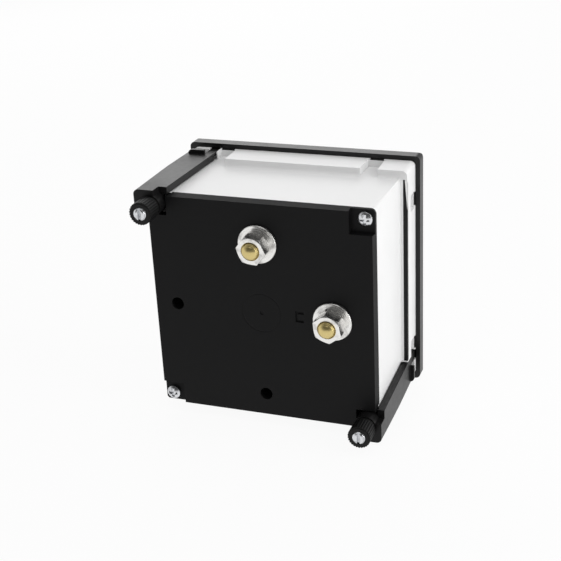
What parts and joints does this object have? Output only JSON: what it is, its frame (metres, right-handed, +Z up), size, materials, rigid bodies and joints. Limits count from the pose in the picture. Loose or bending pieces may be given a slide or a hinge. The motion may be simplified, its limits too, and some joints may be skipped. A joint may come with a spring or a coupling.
{
  "type": "analog panel meter",
  "caption": "Square panel meter with quadrant scale, moving-iron movement, white moulded housing, black rear cover, stud terminals and screw clamps at opposite corners.",
  "frame": {"origin": "centre of the front frame's rear face, the plane that seats on the panel", "axes": "-Y out of the dial, +Y out of the terminal side, +Z up with the pointer's 0 at the left and full scale at the top, +X to the right of the dial"},
  "size_m": [0.096, 0.07, 0.096],
  "materials": {
    "black_bezel": "black ABS, fine matt grain, slightly glossy on the edges",
    "clear_window": "clear polished pane",
    "white_housing": "white moulded plastic, satin",
    "black_cover": "black moulded plastic, satin",
    "black_clamp": "black moulded plastic, satin",
    "scale_white": "white lacquered sheet, printed scale",
    "pointer_black": "matt black paint",
    "zinc_steel": "bright zinc-plated steel",
    "dark_steel": "dark oxided steel",
    "nickel": "bright nickel plate with drawn marks",
    "stud_brass": "dull turned brass",
    "movement_brass": "clean stamped and turned brass",
    "spring_bronze": "bright phosphor bronze strip",
    "movement_grey": "dark moulded thermoset",
    "former_cream": "natural nylon",
    "copper_wire": "lacquered copper wire",
    "copper_strap": "bare stamped copper",
    "soft_iron": "annealed soft iron sheet",
    "spindle_steel": "hard polished steel",
    "vane_aluminium": "thin bright aluminium sheet"
  },
  "bodies": {
    "case": {"bezel": "black_bezel", "glass": "clear_window", "housing": "white_housing", "rear_cover": "black_cover", "cover_screws": "zinc_steel", "scale_plate": "scale_white", "scale_slot_cover": "black_clamp", "front_bridge": "movement_brass", "bridge_screws": "movement_brass", "front_jewel_screw": "movement_brass", "rear_jewel_screw": "movement_brass", "movement_frame": "movement_grey", "frame_screws": "dark_steel", "damping_chamber": "dark_steel", "coil_former": "former_cream", "coil_winding": "copper_wire", "fixed_vane": "soft_iron", "terminal_stud_top": "stud_brass", "terminal_stud_side": "stud_brass", "inner_washers": "nickel", "inner_nuts": "nickel", "coil_strap_top": "copper_strap", "coil_strap_side": "copper_strap", "clamp_rod_right": "zinc_steel", "clamp_rod_left": "zinc_steel"},
    "moving_element": {"spindle": "spindle_steel", "moving_vane": "soft_iron", "damping_vane": "vane_aluminium", "pointer": "pointer_black", "balance_weights": "movement_brass", "hairspring": "spring_bronze"},
    "zero_adjuster_body": {"zero_adjuster": "black_clamp"},
    "zero_lever_body": {"zero_lever": "movement_brass"},
    "washers_top": {"terminal_washer_top": "nickel", "spring_washer_top": "nickel"},
    "washers_side": {"terminal_washer_side": "nickel", "spring_washer_side": "nickel"},
    "nut_top": {"terminal_nut_top": "nickel"},
    "nut_side": {"terminal_nut_side": "nickel"},
    "clamp_right_body": {"clamp_right": "black_clamp"},
    "clamp_left_body": {"clamp_left": "black_clamp"},
    "thumb_nut_right_body": {"thumb_nut_right": "black_clamp"},
    "thumb_nut_left_body": {"thumb_nut_left": "black_clamp"}
  },
  "joints": [
    {"name": "pointer_swing", "type": "hinge", "parent": "case", "child": "moving_element", "pos_m": [0.027, 0, -0.027], "axis": [0, 1, 0], "range_deg": [0, 90], "stiffness_Nm_per_rad": 0.00003, "springref_deg": -5.16},
    {"name": "zero_adjust", "type": "hinge", "parent": "case", "child": "zero_adjuster_body", "pos_m": [0.027, 0, -0.039], "axis": [0, 1, 0], "range_deg": [-35, 35]},
    {"name": "zero_lever_turn", "type": "hinge", "parent": "case", "child": "zero_lever_body", "pos_m": [0.027, 0, -0.027], "axis": [0, 1, 0], "range_deg": [-6.8, 6.8]},
    {"name": "washers_top_slide", "type": "slide", "parent": "case", "child": "washers_top", "axis": [0, 1, 0], "range_m": [0, 0.004]},
    {"name": "nut_top_turn", "type": "hinge", "parent": "washers_top", "child": "nut_top", "pos_m": [0, 0, 0.028], "axis": [0, 1, 0], "range_deg": [-1, 1441]},
    {"name": "washers_side_slide", "type": "slide", "parent": "case", "child": "washers_side", "axis": [0, 1, 0], "range_m": [0, 0.004]},
    {"name": "nut_side_turn", "type": "hinge", "parent": "washers_side", "child": "nut_side", "pos_m": [-0.028, 0, 0], "axis": [0, 1, 0], "range_deg": [-1, 1441]},
    {"name": "clamp_right_slide", "type": "slide", "parent": "case", "child": "clamp_right_body", "axis": [0, 1, 0], "range_m": [-0.0044, 0.005]},
    {"name": "thumb_nut_right_turn", "type": "hinge", "parent": "clamp_right_body", "child": "thumb_nut_right_body", "pos_m": [0.0406, 0, 0.0406], "axis": [0, 1, 0], "range_deg": [-1981, 2251]},
    {"name": "clamp_left_slide", "type": "slide", "parent": "case", "child": "clamp_left_body", "axis": [0, 1, 0], "range_m": [-0.0044, 0.005]},
    {"name": "thumb_nut_left_turn", "type": "hinge", "parent": "clamp_left_body", "child": "thumb_nut_left_body", "pos_m": [-0.0406, 0, -0.0406], "axis": [0, 1, 0], "range_deg": [-1981, 2251]}
  ],
  "couplings": [
    {"joint": "zero_lever_turn", "follows": "zero_adjust", "ratio": -0.19},
    {"joint": "nut_top_turn", "follows": "washers_top_slide", "rad_per_m": 6283.2},
    {"joint": "nut_side_turn", "follows": "washers_side_slide", "rad_per_m": 6283.2},
    {"joint": "thumb_nut_right_turn", "follows": "clamp_right_slide", "rad_per_m": 7854},
    {"joint": "thumb_nut_left_turn", "follows": "clamp_left_slide", "rad_per_m": 7854}
  ]
}
